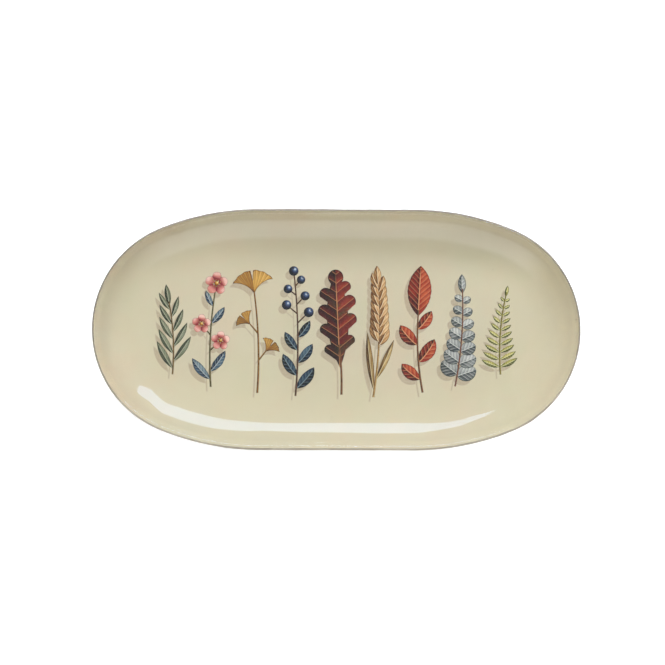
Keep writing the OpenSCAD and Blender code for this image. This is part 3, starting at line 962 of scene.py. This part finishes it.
def fern():
    c = Cutout("cut_fern", 4.14, 46, -4)
    ink = leaf_ink("fern_ink", srgb(228, 216, 140), srgb(160, 157, 76), srgb(62, 68, 28), srgb(238, 232, 172), 1.3, 1.0, 0.2, 0.4)
    twig = stalk_ink("fern_stalk", srgb(172, 156, 78), srgb(84, 80, 34))
    for i in range(10):
        for s in (-1, 1):
            c.side_leaf(4 + 3.8 * i, 43, -18, s * (66 - 1.6 * i), 10.2 - 0.8 * i, 1.9 - 0.09 * i, ink, rows=26, teeth=0.22)
    c.leaf(spot(40.5, 43, -18), -8, 6, 1, 1, ink, rows=14)
    c.stem(43, -18, 0.9, twig)
    return c.build(), "fern"


for made in (willow, blossom, ginkgo, berry, oak, wheat, beech, eucalyptus, fern):
    o, plant = made()
    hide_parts(plant + "_cutout")
    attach(o, "root")

for o, node, slot in (
    (glass, "glass_tray", "clear_glass"),
    (paper, "ground_paper", "cream_paper"),
    (backing, "backing_sheet", "dark_backing"),
    (pad, "felt_pad", "felt"),
):
    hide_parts(node)
    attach(o, "root")

# ------------------------------------------------------------------ floor, light, camera
def floor_material():
    m = Nodes("floor")
    g = m.noise(90, 3, 0.6)
    col = m.mix(g, (0.90, 0.90, 0.895, 1), (0.93, 0.93, 0.925, 1))
    return m.set(Base_Color=col, Roughness=0.9, Emission_Color=(1.0, 1.0, 1.0, 1.0), Emission_Strength=0.34)


floor = new_object("floor", [(-2500, -2500, 0), (2500, -2500, 0), (2500, 2500, 0), (-2500, 2500, 0)],
                   [(0, 1, 2, 3)], [floor_material()], smooth=False)
floor.location.z = -0.00002


def backdrop():
    """A pale cove round the floor, so that a low view ends in white as well."""
    rise = [(1350, 0.0)] + [(1350 + 350 * math.sin(a), 350 * (1 - math.cos(a)))
                            for a in (math.radians(d) for d in range(10, 91, 10))] + [(1700, 900), (1700, 2600)]
    n = 96
    rows = [[(r * math.cos(2 * math.pi * i / n), r * math.sin(2 * math.pi * i / n), z) for i in range(n)]
            for r, z in rise]
    verts, faces = lathe(rows, n)
    m = Nodes("backdrop")
    g = m.noise(1.3, 2, 0.5)
    col = m.mix(g, (0.96, 0.96, 0.955, 1), (1.0, 1.0, 1.0, 1))
    mat = m.set(Base_Color=(0.0, 0.0, 0.0, 1.0), Roughness=1.0, Specular_IOR_Level=0.0, Emission_Color=col, Emission_Strength=1.0)
    o = new_object("backdrop", verts, faces, [mat])
    o.visible_diffuse = o.visible_glossy = o.visible_transmission = o.visible_shadow = False


backdrop()

scene = bpy.context.scene
# brightness of the room, of the warm top light, of the cool window panel and of the soft fill beside it
SKY, TOP, KEY, FILL = 0.15, (6.38, 6.32, 6.20), (3.30, 4.40, 6.80), (6.98, 6.94, 6.74)
WALL = (1.80, 1.90, 2.20)
world = bpy.data.worlds.new("studio")
scene.world = world
world.use_nodes = True
wt = world.node_tree
wt.nodes.clear()
wout = wt.nodes.new("ShaderNodeOutputWorld")
wbg = wt.nodes.new("ShaderNodeBackground")
wco = wt.nodes.new("ShaderNodeTexCoord")
wsep = wt.nodes.new("ShaderNodeSeparateXYZ")
wmap = wt.nodes.new("ShaderNodeMapRange")
wmap.interpolation_type = "SMOOTHSTEP"
wmap.inputs["From Min"].default_value = 0.80
wmap.inputs["From Max"].default_value = 0.95
wmap.inputs["To Min"].default_value = SKY
wmap.inputs["To Max"].default_value = SKY * 0.06
wt.links.new(wco.outputs["Generated"], wsep.inputs[0])
wt.links.new(wsep.outputs[2], wmap.inputs["Value"])
wt.links.new(wmap.outputs[0], wbg.inputs["Strength"])
wbg.inputs["Color"].default_value = (1.0, 1.0, 1.0, 1.0)
wt.links.new(wbg.outputs[0], wout.inputs[0])


def softbox(name, at, target, w, h, radiance):
    """A soft rectangle of even brightness, given for red, green and blue, that faces a point."""
    d = bpy.data.lights.new(name, "AREA")
    d.shape = "RECTANGLE"
    d.size, d.size_y = w, h
    d.energy = max(radiance) * math.pi * w * h
    d.color = [c / max(radiance) for c in radiance]
    o = bpy.data.objects.new(name, d)
    scene.collection.objects.link(o)
    o.location = at
    o.rotation_euler = (Vector(target) - Vector(at)).to_track_quat("-Z", "Y").to_euler()
    o.visible_camera = False
    return o


def panel(name, reach, low_az, high_az, heights, glow, radiance):
    """A curved glowing panel round the tray, between two azimuths in degrees from +Y to +X. heights(s)
    gives its lower and upper edge as elevations, from s = -1 at its low end to 1 at its high end, and
    glow(s, e) its brightness, e running from 0 to 1 up the panel."""
    pts, shine, faces, n, rows = [], [], [], 64, 24
    for i in range(n + 1):
        s = -math.cos(math.pi * i / n)
        az = math.radians((low_az + high_az) / 2 + s * (high_az - low_az) / 2)
        low, high = heights(s)
        for k in range(rows + 1):
            el = math.radians(low + (high - low) * k / rows)
            d = Vector((math.cos(el) * math.sin(az), math.cos(el) * math.cos(az), math.sin(el)))
            pts.append(tuple(d * reach / MM))
            shine.append(glow(s, k / rows))
    for i in range(n):
        for k in range(rows):
            a = (rows + 1) * i + k
            faces.append((a, a + 1, a + rows + 2, a + rows + 1))
    mat = bpy.data.materials.new(name)
    mat.use_nodes = True
    t = mat.node_tree
    t.nodes.clear()
    lamp = t.nodes.new("ShaderNodeEmission")
    lamp.inputs["Color"].default_value = tuple(c / max(radiance) for c in radiance) + (1.0,)
    level = t.nodes.new("ShaderNodeAttribute")
    level.attribute_name = "shine"
    t.links.new(level.outputs["Fac"], lamp.inputs["Strength"])
    t.links.new(lamp.outputs[0], t.nodes.new("ShaderNodeOutputMaterial").inputs[0])
    o = new_object(name, pts, faces, [mat], smooth=False, attrs={"shine": [v * max(radiance) for v in shine]})
    o.visible_camera = False
    return o


def window(s):
    """Level at its low end, higher towards its high end."""
    mid = 36.0 + 10.0 * smooth(s, 0.0, 0.5) - 5.0 * smooth(s, 0.5, 0.95) + 3.0 * max(0.0, -s) ** 2
    p = 3.0 if s > 0 else 2.4
    half = 15.4 * max(0.0, 1 - abs(s) ** p) ** (1 / p) + 0.02
    return mid - half, mid + half


panel("window_panel", 1.2, -11.5, 41.0, window,
      lambda s, e: smooth(e, 0.0, 0.13) * smooth(e, 1.0, 0.87) * smooth(abs(s), 1.0, 0.90), KEY)
# the pale wall of the room, seen only as a soft sheen on the far side of the rim
wall = panel("room_wall", 1.5, 112.0, 248.0, lambda s: (1.0, 61.0),
             lambda s, e: smooth(e, 0.0, 0.2) * smooth(e, 1.0, 0.72) * (smooth(s, 0.78, 0.35) if s > 0 else smooth(-s, 0.72, 0.05)), WALL)
wall.visible_diffuse = wall.visible_transmission = False
fill = softbox("fill", (0.15, 1.0, 0.64), (0.0, 0.0, 0.01), 1.05, 0.78, FILL)
overhead = softbox("overhead", (0.1, 0.1, 1.6), (0.0, 0.0, 0.01), 1.5, 1.5, TOP)
for lamp in (fill, overhead):
    lamp.visible_glossy = False                   # hidden from reflections so that it leaves no glare on the flat

scene.view_settings.view_transform = "Standard"
scene.view_settings.look = "None"

# straight down on the tray; the picture's middle lies a little left of and below the tray's
PX = 2 * HALF_L / (2 * 244.367)                   # mm at the rim for one pixel of a 665-pixel picture
cam = bpy.data.cameras.new("camera")
cam.lens, cam.sensor_width = 85, 36
reach = 665 * PX / 2 / (18 / 85)
camera = bpy.data.objects.new("camera", cam)
scene.collection.objects.link(camera)
camera.location = (-3.747 * PX * MM, -2.829 * PX * MM, (reach + Z_BEND - BEND_MID * 0.6) * MM)
camera.rotation_euler = (0.0, 0.0, 0.00374)
scene.camera = camera
